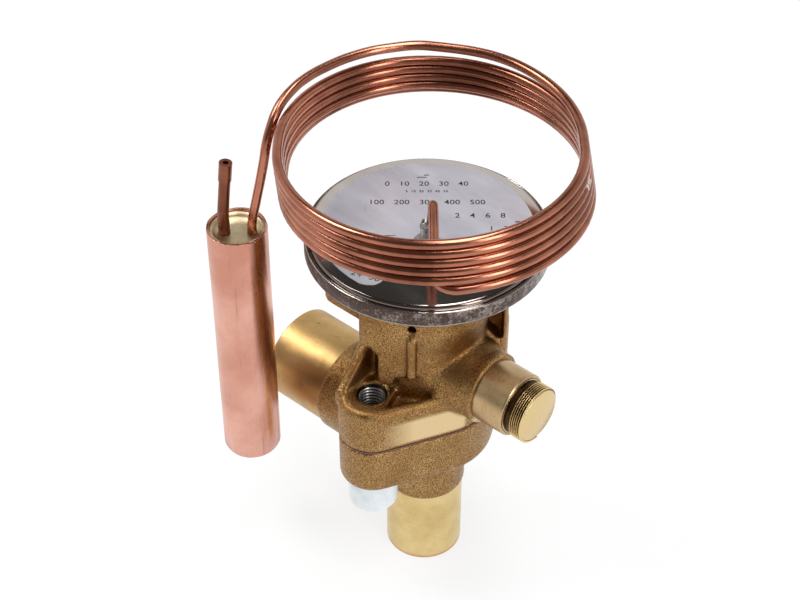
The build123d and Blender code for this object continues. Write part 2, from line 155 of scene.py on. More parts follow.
# Where the castings' finish changes, in metres: the lugs' milled sides, and the upper part, made browner as
# painted shade.
forging = {
    "lugLean": (0.897, 0.442), "milledSide": (0.02185, 0.0221), "milledFoot": (0.0695, 0.0702),
    "milledTop": (0.0795, 0.0780), "brown": (0.079, 0.092),
}


# Brass as it comes from the forging die: grainy, with painted shade making it browner above, and smooth where
# it is milled.
def forgedBrass():
    finish = Finish("forgedBrass", Metallic=1.0)
    patches = finish.grain(90, 3, 0.6)
    grit = finish.grain(2600, 2, 0.6)
    pits = finish.cells(1500)
    x, y, z = finish.parts(finish.place())
    leanX, leanY = forging["lugLean"]
    across = (x * leanX - y * leanY).above(x * leanX + y * leanY)
    milled = finish.spread(across, *forging["milledSide"]) * finish.spread(z, *forging["milledFoot"])
    milled = milled * finish.spread(z, *forging["milledTop"])
    # Painted shade: above this height the casting is made darker and browner.
    high = finish.spread(z, *forging["brown"])
    deep = finish.blend(high, rgb(172, 134, 82), rgb(152, 112, 66))
    pale = finish.blend(high, rgb(204, 170, 114), rgb(204, 166, 110))
    tone = finish.blend(finish.spread(patches, 0.35, 0.7), deep, pale)
    tone = finish.blend(finish.spread(grit, 0.42, 0.62), rgb(122, 84, 46), tone)
    tone = finish.blend(milled, tone, rgb(222, 196, 150))
    finish.feed("Base Color", tone)
    finish.feed("Roughness", finish.spread(grit, 0.3, 0.7, 0.46, 0.26) - milled * 0.04)
    height = (grit * 0.7 + finish.spread(pits, 0.0, 0.5) * 0.3) * (1 - milled * 0.85)
    finish.bump(height, 0.8, 0.0003)
    return finish.material


# Turned brass with fine rings round an axis, small dark specks, and, if asked for, a painted dark reflection
# band at a given height.
def turnedBrass(
        name="turnedBrass", along=2, pale=rgb(222, 196, 144), deep=rgb(192, 156, 104), rough=0.26,
        reflectionBandHeight=None, metallic=1.0):
    finish = Finish(name, Metallic=metallic)
    scale = [30, 30, 30]
    scale[along] = 3600
    rings = finish.grain(1.0, 2, 0.6, finish.stretched(scale))
    patches = finish.grain(70, 3, 0.6)
    tone = finish.blend(finish.spread(patches, 0.3, 0.7), deep, pale)
    if reflectionBandHeight:
        # Painted reflection: a dark band round the part at that height.
        z = finish.parts(finish.place())[2] + finish.grain(140, 3, 0.6) * 0.003
        band = finish.spread(z, reflectionBandHeight - 0.003, reflectionBandHeight) * finish.spread(z, reflectionBandHeight + 0.006, reflectionBandHeight + 0.003)
        tone = finish.blend(band * 0.6, tone, rgb(122, 88, 52))
    specks = finish.spread(finish.grain(900, 2, 0.6), 0.66, 0.72)
    finish.feed("Base Color", finish.blend(specks * 0.5, tone, rgb(96, 66, 40)))
    finish.feed("Roughness", finish.spread(rings, 0.3, 0.7, rough - 0.05, rough + 0.07))
    finish.bump(rings, 0.07, 0.00004)
    return finish.material


# A threaded part, coloured by its distance from the thread's own axis, with painted shade in the thread's
# roots. An end face past the thread keeps the bright colour.
def threadedFinish(name, near, far, across, depths, rough=0.28, face=None):
    finish = Finish(name, Metallic=1.0)
    place = finish.parts(finish.place())
    first, second = across(*place)
    radius = (first * first + second * second).power(0.5)
    # Painted shade: the thread's roots are dark and its crests bright.
    tone = finish.blend(finish.spread(radius, *depths), near, far)
    if face:
        tone = finish.blend(finish.spread(place[0], face, face + 0.0002), tone, far)
    finish.feed("Base Color", tone)
    finish.feed("Roughness", finish.spread(finish.grain(900, 3, 0.6), 0.3, 0.7, rough - 0.05, rough + 0.06))
    return finish.material


def inletBrass():
    finish = Finish("inletBrass", Metallic=1.0)
    x, y, z = finish.parts(finish.place())
    rings = finish.grain(1.0, 2, 0.6, finish.stretched((25, 25, 2400)))
    patches = finish.grain(80, 3, 0.6)
    tone = finish.blend(finish.spread(patches, 0.3, 0.7), rgb(205, 176, 116), rgb(232, 208, 150))
    tone = finish.blend(finish.spread(z, 0.0016, 0.0002), tone, rgb(196, 128, 92))
    finish.feed("Base Color", tone)
    finish.feed("Roughness", finish.spread(rings, 0.3, 0.7, 0.22, 0.36))
    finish.bump(rings, 0.1, 0.00005)
    return finish.material


# Pale spots on the tube: where each is, and how far it reaches, in millimetres.
paleSpots = [((43.2, 20.7, 161.0), 3.2), ((-38.2, -30.7, 150.0), 2.6), ((-32.9, 23.0, 158.0), 1.8)]


# Drawn copper: worn brown with brighter patches and dark handling marks.
# The used tube also has its pale spots and tinned foot.
def copper(name, pale, deep, low=0.19, high=0.26, streak=(60, 60, 60), mark=rgb(78, 44, 34), used=True):
    finish = Finish(name, Metallic=1.0)
    marks = finish.grain(1.0, 4, 0.65, finish.stretched(streak))
    patches = finish.grain(38, 4, 0.6, distortion=0.4)
    tone = finish.blend(finish.spread(patches, 0.36, 0.64), deep, pale)
    tone = finish.blend(finish.spread(marks, 0.6, 0.74) * 0.55, tone, mark)
    if used:
        x, y, z = finish.parts(finish.place())
        spotBreakup = finish.spread(finish.grain(420, 3, 0.6), 0.5, 0.56)
        for (left, front, up), reach in paleSpots:
            away = (x - left * mm).power(2) + (y - front * mm).power(2) + (z - up * mm).power(2)
            near = finish.spread(away.power(0.5), reach * mm, reach / 2 * mm)
            tone = finish.blend(near * spotBreakup, tone, rgb(244, 228, 220))
        foot = coilTurn @ (riser * mm)
        away = (x - foot.x).power(2) + (y - foot.y).power(2)
        tinned = finish.spread(away, 1.0e-5, 0.6e-5) * finish.spread(z, 0.1478, 0.1462)
        tone = finish.blend(tinned * 0.85, tone, rgb(122, 112, 106))
    finish.feed("Base Color", tone)
    finish.feed("Roughness", finish.spread(marks, 0.3, 0.7, low, high))
    finish.bump(marks, 0.02, 0.00005)
    return finish.material


# Where the pressed head's finish changes, in metres: radii of wall and groove, heights of wall and lip.
pressing = {
    "wall": (0.03695, 0.03708), "wallTop": (0.13305, 0.13275), "lip": (0.1285, 0.1281),
    "grooveInside": (0.0350, 0.0352), "grooveOutside": (0.03655, 0.0364),
}


# Pressed steel: a smooth plate, painted shade in the groove, painted highlights on the crest and the lower
# lip, and a wall mottled brown and silver, painted lighter toward one side.
def pressedSteel():
    finish = Finish("pressedSteel", Metallic=1.0)
    x, y, z = finish.parts(finish.place())
    radius = (x * x + y * y).power(0.5)
    # The wall stops below the crest, so the crest keeps the plate's pale colour as a painted highlight.
    wall = finish.spread(radius, *pressing["wall"]) * finish.spread(z, *pressing["wallTop"])
    groove = finish.spread(radius, *pressing["grooveInside"])
    groove = groove * finish.spread(radius, *pressing["grooveOutside"])
    blotches = finish.grain(220, 4, 0.66)
    speckle = finish.grain(1400, 3, 0.7)
    # Painted light: the wall's mottling is made lighter toward one side.
    side = finish.spread(x * 0.75 + y * 0.66, -0.03, 0.03, -0.09, 0.03)
    wearAndSideLight = finish.spread(blotches * 0.5 + speckle * 0.5 + side, 0.45, 0.68)
    tone = finish.blend(wearAndSideLight, rgb(82, 66, 60), rgb(184, 174, 168))
    # A painted highlight along the lower lip of the wall.
    tone = finish.blend(finish.spread(z, *pressing["lip"]), tone, rgb(214, 208, 204))
    smears = finish.grain(1.0, 4, 0.6, finish.stretched((16, 60, 30), (0, 0, 0.4)))
    plate = finish.blend(finish.spread(smears, 0.35, 0.7), rgb(192, 182, 174), rgb(208, 200, 194))
    # Painted shade darkens the groove round the plate.
    plate = finish.blend(groove * 0.85, plate, rgb(96, 84, 78))
    finish.feed("Base Color", finish.blend(wall, plate, tone))
    smooth = finish.spread(smears, 0.35, 0.7, 0.07, 0.14)
    finish.feed("Roughness", finish.spread(wearAndSideLight, 0.0, 1.0, 0.44, 0.26) * wall + smooth * (1 - wall))
    finish.bump((blotches * 0.4 + speckle * 0.6) * wall, 0.4, 0.00014)
    return finish.material


# The printed disc: satin grey-lilac, a little rubbed.
def labelFinish():
    finish = Finish("labelGrey", Metallic=0.25)
    rubs = finish.grain(1.0, 4, 0.6, finish.stretched((40, 120, 40), (0, 0, 0.7)))
    fine = finish.grain(1600, 2, 0.5)
    tone = finish.blend(finish.spread(rubs, 0.35, 0.7), rgb(164, 163, 172), rgb(180, 180, 188))
    scuff = finish.spread(finish.grain(55, 5, 0.7), 0.68, 0.74)
    finish.feed("Base Color", finish.blend(scuff * 0.6, tone, rgb(128, 122, 120)))
    finish.feed("Roughness", finish.spread(rubs, 0.3, 0.7, 0.26, 0.4))
    finish.bump(fine, 0.15, 0.00002)
    return finish.material


def plainFinish(name, colour, roughness, metallic=0.0, bumpScale=900):
    finish = Finish(name, Metallic=metallic)
    fine = finish.grain(bumpScale, 3, 0.6)
    low = [c * 0.86 for c in colour[:3]] + [1.0]
    finish.feed("Base Color", finish.blend(finish.spread(fine, 0.3, 0.7), low, colour))
    finish.feed("Roughness", finish.spread(fine, 0.3, 0.7, roughness * 0.85, roughness * 1.15))
    finish.bump(fine, 0.3, 0.00003)
    return finish.material


boss = {"height": 85.3, "outer": 10.45, "bore": 9.46, "root": 26.6, "face": 38.8}
lug = {"reach": 25.5, "top": 83.7}
finishes = {
    "forged": forgedBrass(),
    "turned": turnedBrass(),
    "turnedX": turnedBrass("turnedBrassAcross", along=0),
    "inlet": inletBrass(),
    "coil": copper("brownCopper", rgb(184, 120, 96), rgb(138, 84, 64)),
    "stub": copper("darkCopper", rgb(150, 92, 70), rgb(104, 62, 48), 0.24, 0.4),
    "bulb": copper(
        "pinkCopper", rgb(226, 172, 154), rgb(202, 142, 122), 0.2, 0.36, (420, 420, 18), rgb(120, 70, 54),
        used=False),
    # The outlet carries a painted dark reflection band about 60 mm up.
    "outlet": turnedBrass("outletBrass", 0, rgb(214, 178, 118), rgb(182, 144, 88), 0.4, 0.0600, 0.8),
    "boss": turnedBrass("bossBrass", 0, rgb(212, 184, 140), rgb(180, 148, 108), 0.3),
    "capBrass": turnedBrass("capBrass", 2, rgb(206, 190, 158), rgb(176, 156, 120), 0.42),
    # The plug thread's dark colour is painted shade in its roots and relief.
    "thread": threadedFinish(
        "threadBrass", rgb(70, 50, 30), rgb(222, 196, 144), lambda x, y, z: (y, z - boss["height"] * mm),
        (0.00895, 0.0092), face=0.0450),
    "steel": pressedSteel(),
    "solder": plainFinish("solderSilver", rgb(160, 154, 148), 0.28, 1.0),
    "insert": plainFinish("insertSteel", rgb(196, 196, 194), 0.25, 1.0),
    # The insert thread's dark colour is painted shade in its roots.
    "insertThread": threadedFinish(
        "threadSteel", rgb(214, 212, 208), rgb(40, 34, 28),
        lambda x, y, z: (x, y.sum("ABSOLUTE") - lug["reach"] * mm), (0.00402, 0.0043), 0.3),
    "label": labelFinish(),
    "ink": plainFinish("labelInk", rgb(36, 34, 38), 0.5),
    "cap": plainFinish("whitePlastic", rgb(226, 232, 236), 0.38, bumpScale=300),
    "gasket": plainFinish("gasketFibre", rgb(120, 84, 72), 0.8),
    "rubber": plainFinish("blackRubber", rgb(28, 28, 28), 0.6),
}
print("finishes made")


def addPiece(bm, name, finish, body, replaces=(), smooth=True, bevel=None):
    mesh = bpy.data.meshes.new(name)
    bm.to_mesh(mesh)
    bm.free()
    mesh.materials.append(finishes[finish])
    piece = bpy.data.objects.new(name, mesh)
    bpy.context.scene.collection.objects.link(piece)
    if smooth:
        mesh.shade_smooth()
    if bevel:
        edges = piece.modifiers.new("edges", "BEVEL")
        edges.width = bevel
        edges.segments = 3
        edges.limit_method = "ANGLE"
        edges.angle_limit = math.radians(28)
        edges.harden_normals = True
    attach(piece, body)
    if replaces:
        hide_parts(*replaces)
    return piece


# Joins doubles, turns the faces outwards and puts the mesh in its place.
def settle(bm, place=Matrix.Identity(4), apart=1e-7):
    bmesh.ops.remove_doubles(bm, verts=bm.verts, dist=apart)
    bmesh.ops.recalc_face_normals(bm, faces=bm.faces)
    bmesh.ops.transform(bm, matrix=place, verts=bm.verts)


# A closed outline of (radius, height) in millimetres, in the plane of X and Z.
def outlineEdges(bm, section):
    points = [bm.verts.new((radius * mm, 0, height * mm)) for radius, height in section]
    return points + [bm.edges.new((a, b)) for a, b in zip(points, points[1:] + points[:1])]


# A closed section turned round +Z, then laid on another axis.
def lathe(section, steps=128, place=Matrix.Identity(4)):
    bm = bmesh.new()
    bmesh.ops.spin(
        bm, geom=outlineEdges(bm, section), axis=(0, 0, 1), cent=(0, 0, 0), angle=math.tau, steps=steps,
        use_merge=True)
    settle(bm, place)
    return bm


# One mesh of the same part on both lugs.
def onBothLugs(makePart):
    bm = bmesh.new()
    for side in (-1, 1):
        part = makePart()
        place = Matrix.Translation((0, side * lug["reach"] * mm, 0))
        bmesh.ops.transform(part, matrix=place, verts=part.verts)
        mesh = bpy.data.meshes.new("lugPart")
        part.to_mesh(mesh)
        part.free()
        bm.from_mesh(mesh)
    return bm


# What a curve, a text or an object with modifiers comes to as a mesh. The object goes.
def meshOf(data, modify=None):
    holder = bpy.data.objects.new(data.name + "Holder", data)
    bpy.context.scene.collection.objects.link(holder)
    if modify:
        modify(holder)
    mesh = bpy.data.meshes.new_from_object(holder.evaluated_get(bpy.context.evaluated_depsgraph_get()))
    bpy.data.objects.remove(holder)
    return mesh


alongX = Matrix.Rotation(math.pi / 2, 4, "Y")


def atHeight(height, sign=1):
    turn = alongX if sign > 0 else Matrix.Rotation(-math.pi / 2, 4, "Y")
    return Matrix.Translation((0, 0, height * mm)) @ turn


# A screw thread: one ridge, pointing out or in, swept round the axis and along it, with its ends closed.
def threadRidge(bm, root, crest, pitch, start, turns, steps=48):
    inside = root - 0.2 * math.copysign(1, crest - root)
    profile = [(inside, 0.06), (root, 0.1), (crest, 0.42), (crest, 0.58), (root, 0.9), (inside, 0.94)]
    section = [(radius, start + part * pitch) for radius, part in profile]
    bmesh.ops.spin(
        bm, geom=outlineEdges(bm, section), axis=(0, 0, 1), cent=(0, 0, 0), angle=math.tau * turns,
        steps=int(steps * turns), dvec=(0, 0, pitch * mm / steps))
    bmesh.ops.holes_fill(bm, edges=[edge for edge in bm.edges if edge.is_boundary])
    bmesh.ops.recalc_face_normals(bm, faces=bm.faces)


casting = {"voxel": 0.62, "smoothing": 6, "soften": 0.5}


# A casting keeps the CAD form with its edges softened; its machined ends are cut off and turned anew.
def softCasting(node, name, cuts):
    bm = bmesh.new()
    bm.from_mesh(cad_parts[node].data)
    bmesh.ops.remove_doubles(bm, verts=bm.verts, dist=1e-6)
    mesh = bpy.data.meshes.new(name + "Raw")
    bm.to_mesh(mesh)
    bm.free()

    def soften(raw):
        remesh = raw.modifiers.new("voxels", "REMESH")
        remesh.mode = "VOXEL"
        remesh.voxel_size = casting["voxel"] * mm
        smooth = raw.modifiers.new("soften", "SMOOTH")
        smooth.factor = casting["soften"]
        smooth.iterations = casting["smoothing"]

    bm = bmesh.new()
    bm.from_mesh(meshOf(mesh, soften))
    for point, normal in cuts:
        everything = bm.verts[:] + bm.edges[:] + bm.faces[:]
        bmesh.ops.bisect_plane(
            bm, geom=everything, plane_co=Vector(point) * mm, plane_no=normal, clear_outer=True)
        bmesh.ops.holes_fill(bm, edges=[edge for edge in bm.edges if edge.is_boundary])
    return addPiece(bm, name, "forged", "valve_body", replaces=[node])


softCasting(
    "lower_body", "lowerCasting", [((0, 0, 30.2), (0, 0, -1)), ((-33.2, 0, 0), (-1, 0, 0))])
softCasting("upper_body", "upperCasting", [((27.2, 0, 0), (1, 0, 0))])
print("castings softened")

socket = {
    "inletOuter": 12.7, "inletBore": 11.15, "outletOuter": 16.0, "outletBore": 14.35, "outletHeight": 50.3,
    "wayBore": 9.2,
}


def turnedEnds():
    outer, bore, way = socket["inletOuter"], socket["inletBore"], socket["wayBore"]
    section = [(outer - 0.35, 0), (outer, 0.35), (outer, 31), (way, 31), (way, 22)]
    section += [(bore, 22), (bore, 0.4), (bore + 0.4, 0)]
    addPiece(lathe(section), "inletSocket", "inlet", "valve_body", bevel=0.12 * mm)
    outer, bore = socket["outletOuter"], socket["outletBore"]
    section = [(outer - 0.4, 57), (outer, 56.6), (outer, 32.5), (way, 32.5), (way, 35)]
    section += [(bore, 35), (bore, 56.6), (bore + 0.4, 57)]
    bm = lathe(section, place=atHeight(socket["outletHeight"], -1))
    addPiece(bm, "outletSocket", "outlet", "valve_body", bevel=0.12 * mm)
    outer, bore, root, face = boss["outer"], boss["bore"], boss["root"], boss["face"]
    section = [(outer, root), (outer, face - 0.5), (outer - 0.4, face), (bore, face), (bore, root)]
    bm = lathe(section, place=atHeight(boss["height"]))
    addPiece(bm, "bossSleeve", "boss", "valve_body", bevel=0.15 * mm)


turnedEnds()
plug = {"back": 33.5, "bore": 9.35, "relief": 8.7, "root": 8.85, "crest": 9.4, "pitch": 0.72, "start": 40.5,
        "face": 45.4, "turns": 6}


def sealPlug():
    start, face, bore, relief, root = (plug[key] for key in ("start", "face", "bore", "relief", "root"))
    section = [
        (0, plug["back"]), (bore, plug["back"]), (bore, 38.75), (relief, 38.95), (relief, start - 0.2),
        (root, start), (root, face - 0.7), (8.6, face - 0.15), (8.3, face), (0, face - 0.04),
    ]
    bm = lathe(section, 96)
    threadRidge(bm, root, plug["crest"], plug["pitch"], start, plug["turns"])
    bmesh.ops.transform(bm, matrix=atHeight(boss["height"]), verts=bm.verts)
    addPiece(bm, "sealPlug", "thread", "plug", replaces=["seal_plug"], bevel=0.06 * mm)


sealPlug()


insert = {"outer": 4.72, "root": 4.45, "crest": 3.95, "bottom": 71, "pitch": 1.25, "turns": 9}


def threadInsert():
    outer, root, low, high = insert["outer"], insert["root"], insert["bottom"], lug["top"]
    part = lathe([(outer, low), (outer, high), (root, high), (root, low)], 64)
    threadRidge(part, root, insert["crest"], insert["pitch"], low + 0.4, insert["turns"])
    return part


addPiece(
    onBothLugs(threadInsert), "threadInserts", "insertThread", "valve_body",
    replaces=["thread_inserts"])
print("turned parts made")

head = {
    "radius": 37.2, "inside": 35.9, "plate": 134.35, "plateRadius": 34.9, "groove": 132.5, "crest": 133.1,
    "rim": 127.8, "underside": 129.5, "gauge": 1.3,
}


def headCover():
    r, inside, top, crest, rim = head["radius"], head["inside"], head["plate"], head["crest"], head["rim"]
    groove, under = head["groove"], head["underside"]
    section = [(0, top - head["gauge"]), (0, top), (head["plateRadius"], top), (inside - 0.62, top - 0.08)]
    section += [(inside - 0.3, top - 0.3), (inside - 0.08, top - 0.7), (inside, top - 1.2)]
    section += [(inside + 0.08, groove), (inside + 0.35, groove), (r - 0.6, crest - 0.12), (r - 0.4, crest)]
    section += [(r - 0.15, crest - 0.1), (r, crest - 0.4), (r, rim + 0.4), (r - 0.25, rim + 0.05)]
    section += [(inside + 0.3, rim), (inside, rim + 0.3), (inside, under)]
    section += [(33, under), (31.5, top - head["gauge"])]
    bm = lathe(section, 160)
    addPiece(bm, "headCover", "steel", "valve_body", replaces=["head_top_cover"])


headCover()
collar = {"bore": 1.45, "radius": 4.0, "thick": 0.7, "waves": 500, "wave": 0.00025}


# A washer soldered on the plate, a small bead and the tinned foot of the tube.
def solderCollar():
    top, bore, wide = head["plate"], collar["bore"], collar["radius"]
    section = [(bore, 0), (wide, 0), (wide, 0.3), (wide - 0.2, 0.5), (2.6, 0.6), (2.1, 1.2), (1.9, 2.6)]
    section += [(1.8, 4.6), (2.1, 5.4), (2.15, 6.2), (1.8, 7.0), (1.58, 7.6), (bore, 7.8)]
    bm = lathe([(radius, top + height) for radius, height in section], 48)
    for vert in bm.verts:
        if vert.co.z > (top + collar["thick"]) * mm:
            out = Vector((vert.co.x, vert.co.y, 0)).normalized()
            vert.co += out * noise.noise(vert.co * collar["waves"]) * collar["wave"]
    bmesh.ops.transform(bm, matrix=coilTurn @ Matrix.Translation(riser * mm), verts=bm.verts)
    addPiece(bm, "solderCollar", "solder", "valve_body", replaces=["capillary_collar"])


solderCollar()

# The tube's route, in the coil's turned frame.
coil = {
    "radius": 1.5, "bend": 4.0, "run": 150.1, "offset": 1.4, "corner": 6.0, "cornerHeight": 149.6,
    "turns": 5, "bottom": 150.9, "pitch": 3.02, "right": 47.6, "left": -42.35, "rightStep": 0.55,
    "leftStep": 0.25, "front": -1.6, "back": 1.7, "firstBack": 4.4, "entry": Vector((-53.5, 9.3, 128.0)),
    "end": 122.2, "sunk": 2.3,
}
leadPoints = [
    (31.6, 33.4, 167.8), (1.0, 45.3, 169.5), (-12.3, 43.6, 169.7), (-21.4, 39.8, 169.8),
    (-29.4, 34.2, 169.8), (-36.8, 26.9, 169.6), (-40.5, 22.1, 168.8), (-43.0, 18.8, 167.3),
    (-44.8, 15.8, 165.3), (-46.3, 13.0, 162.2), (-47.6, 11.0, 158.0), (-48.7, 10.0, 152.0),
    (-50.0, 9.3, 145.5), (-51.6, 9.3, 138.0),
]


# Knots of an arc that starts at centre + arm and turns toward side: each a place with its two handles.
def arcKnots(centre, arm, side, angle):
    pieces = math.ceil(angle / (math.pi / 2) - 1e-6)
    reach = 4 / 3 * math.tan(angle / pieces / 4)
    knots = []
    for i in range(pieces + 1):
        part = angle * i / pieces
        along = (side * math.cos(part) - arm * math.sin(part)) * reach
        knots.append([centre + arm * math.cos(part) + side * math.sin(part), -along, along])
    return knots


# Arcs joined end to end, with a straight run where one starts away from the last.
def joinKnots(arcs):
    knots = []
    for arc in arcs:
        if knots:
            gap = arc[0][0] - knots[-1][0]
            knots[-1][2] = arc[0][2] if gap.length < 0.001 else gap / 3
            if gap.length < 0.001:
                arc = arc[1:]
            else:
                arc[0][1] = gap / -3
        knots += arc
    return knots


def coilArcs():
    rise, up, away = coil["run"] - coil["bend"], Vector((0, 0, coil["bend"])), Vector((0, coil["bend"], 0))
    start = riser + Vector((0, 0, head["plate"] - coil["sunk"]))
    still = Vector((0, 0, 0))
    lean = Vector((coil["offset"] - start.x, 0, 0))
    bend = arcKnots(riser + lean + Vector((0, -coil["bend"], rise)), away, up, math.pi / 2)
    arcs = [[[start, still, still]], bend]
    # The corner and the first quarter turn lie in one sloping plane.
    wide = (coil["right"] - coil["left"]) / 2
    slope = (coil["bottom"] - coil["cornerHeight"]) / (coil["right"] - coil["offset"])
    level = coil["cornerHeight"] - slope * coil["offset"]

    def sloped(x, y, base=0.0):
        return Vector((x, y, slope * x + base))

    middle = sloped(coil["right"] - wide, coil["front"], level)
    hubX = coil["offset"] + coil["corner"]
    hubY = coil["front"] - math.sqrt((wide - coil["corner"]) ** 2 - (hubX - middle.x) ** 2)
    hub = sloped(hubX, hubY, level)
    join = math.atan2(hubY - middle.y, hubX - middle.x)
    corner = arcKnots(hub, sloped(-coil["corner"], 0), Vector((0, -coil["corner"], 0)), math.pi + join)
    down = Vector((0, (corner[0][0] - arcs[1][-1][0]).y / 3, 0))
    corner[0][1] = -down
    arcs[1][-1][2] = down
    first = sloped(math.cos(join) * wide, math.sin(join) * wide)
    quarter = arcKnots(middle, first, sloped(-math.sin(join) * wide, math.cos(join) * wide), -join)
    knots = joinKnots(arcs)
    knots[0][2], knots[1][1], knots[-1][2] = up, -up, down
    knots += joinKnots([corner, quarter])
    return knots


def coilKnots():
    knots = coilArcs()
    turns = []
    place = knots[-1][0]
    for half in range(2 * coil["turns"]):
        behind = half % 2 == 0
        turn = (half + 1) // 2
        if behind:
            x, y, toward = coil["left"] - coil["leftStep"] * (turn + 1), coil["back"], 1
        else:
            x, y, toward = coil["right"] - coil["rightStep"] * turn, coil["front"], -1
        if half == 0:
            y = coil["firstBack"]  # the lowest pass bulges out behind the others
        start = Vector((place.x, y, place.z))
        end = Vector((x, y, place.z + coil["pitch"] / 2))
        middle = (start + end) / 2
        arm = start - middle
        turns.append(arcKnots(middle, arm, Vector((0, toward * arm.length, 0)), math.pi))
        place = end
    still = Vector((0, 0, 0))
    last = Vector((place.x, coil["back"], place.z))
    turns.append([[last, still, Vector((0, 12, 0))]])
    return joinKnots([knots] + turns)


# Puts knots on a curve's spline as points with set handles.
def setKnots(points, knots):
    for spot, (place, before, after) in zip(points, knots):
        spot.co = place * mm
        spot.handle_left, spot.handle_right = (place + before) * mm, (place + after) * mm


# The tube's curve: knots with set handles first, then the lead's own points with smooth ones.
def capillaryTube():
    curve = bpy.data.curves.new("capillary", "CURVE")
    curve.dimensions = "3D"
    curve.resolution_u = 20
    curve.bevel_depth = coil["radius"] * mm
    curve.bevel_resolution = 5
    curve.use_fill_caps = True
    knots = coilKnots()
    entry = coil["entry"]
    lead = [Vector(point) for point in leadPoints] + [entry, Vector((entry.x, entry.y, coil["end"]))]
    spline = curve.splines.new("BEZIER")
    spline.bezier_points.add(len(knots) + len(lead) - 1)
    setKnots(spline.bezier_points, knots)
    for spot, place in zip(spline.bezier_points[len(knots):], lead):
        spot.co = place * mm
        spot.handle_left_type = spot.handle_right_type = "AUTO"
    bm = bmesh.new()
    bm.from_mesh(meshOf(curve))
    settle(bm, coilTurn)
    addPiece(bm, "capillaryTube", "coil", "valve_body", replaces=["capillary_tube"])


capillaryTube()
print("capillary wound")

# The label's outline has two rounded lower corners, with a shallow recess between them.
label = {
    "radius": 32.3, "corner": 5.0, "cornerPlace": (17.2, -21.2), "recess": (9, -17), "low": 134.36,
    "thick": 0.14,
}


def ring(centre, radius, start, end):
    arm = Vector((math.cos(start), math.sin(start), 0)) * radius
    side = Vector((-math.sin(start), math.cos(start), 0)) * radius
    return arcKnots(Vector((*centre, 0)), arm, side, end - start)


def headLabel():
    x, y = label["cornerPlace"]
    lean = math.atan2(-y, x)
    corner, still = label["corner"], Vector((0, 0, 0))
    recessX, recessY = label["recess"]
    outline = [
        ring((0, 0), label["radius"], -lean, math.pi + lean), ring((-x, y), corner, math.pi + lean, math.tau),
        [[Vector((-recessX, recessY, 0)), still, still]], [[Vector((recessX, recessY, 0)), still, still]],
        ring((x, y), corner, math.pi, math.tau - lean),
    ]
    knots = joinKnots(outline)
    knots[0][1] = knots.pop()[1]
    curve = bpy.data.curves.new("labelOutline", "CURVE")
    curve.dimensions = "2D"
    curve.fill_mode = "BOTH"
    curve.resolution_u = 24
    curve.extrude = label["thick"] / 2 * mm
    spline = curve.splines.new("BEZIER")
    spline.use_cyclic_u = True
    spline.bezier_points.add(len(knots) - 1)
    setKnots(spline.bezier_points, knots)
    bm = bmesh.new()
    bm.from_mesh(meshOf(curve))
    middle = (label["low"] + label["thick"] / 2) * mm
    settle(bm, coilTurn @ Matrix.Translation((0, 0, middle)), 1e-6)
    addPiece(bm, "headLabel", "label", "valve_body", replaces=["head_label"], smooth=False)


headLabel()

# Printed on the label, in the coil's turned frame.
marks = {
    "height": 134.51, "ink": 0.02, "bolder": 0.025,
    # Plain numbers, with their place, size and turn.
    "rows": [
        ("0   10   20   30   40", (0.0, 20.9), 3.1, 0), ("5  15  25  35  45  55", (0.0, 17.6), 1.5, 0),
        ("100   200   300   400   500", (0.0, 11.6), 3.1, 0), ("2   4   6   8", (16.0, 5.0), 3.2, 0),
        ("1   3   5", (23.5, -1.2), 3.0, 0), ("12  18  24", (-18.5, -6.4), 2.2, -6),
        ("24  36", (-18.6, -23.2), 3.4, -22),
    ],
    # Rules, with their place, length and width.
    "rules": [
        (-1.5, 25.2, 3.0, 0.4), (0, 26.3, 1.6, 0.4), (28.6, 3.0, 4.4, 0.5), (-28.5, -1.0, 4.4, 0.5),
        (-14, -3.6, 9, 0.3), (-25.5, -4.0, 3, 0.3),
    ],
}


def labelMarks():
    bm = bmesh.new()
    level, ink = marks["height"] * mm, marks["ink"] * mm
    for words, (x, y), size, turn in marks["rows"]:
        text = bpy.data.curves.new("markText", "FONT")
        text.body, text.size, text.align_x, text.extrude = words, size * mm, "CENTER", ink / 2
        text.space_character, text.offset = 1.05, marks["bolder"] * mm
        mesh = meshOf(text)
        turned = Matrix.Rotation(math.radians(turn), 4, "Z")
        mesh.transform(Matrix.Translation((x * mm, y * mm, level)) @ turned)
        bm.from_mesh(mesh)
    for x, y, long, wide in marks["rules"]:
        size = Matrix.Diagonal((long * mm, wide * mm, ink, 1))
        bmesh.ops.create_cube(bm, size=1, matrix=Matrix.Translation((x * mm, y * mm, level)) @ size)
    settle(bm, coilTurn, 1e-6)
    addPiece(bm, "labelMarks", "ink", "valve_body", smooth=False)


labelMarks()
print("label marked")

bulb = {"place": Vector((-58.1, 9.3, 0)), "radius": 9.5, "wall": 0.95, "bottom": 35.1, "top": 128.0,
        "dent": 0.00018, "waves": (60, 60, 25), "edgeWaves": 260, "edgeWave": 0.0006}
bulbPlace = coilTurn @ Matrix.Translation(bulb["place"] * mm)


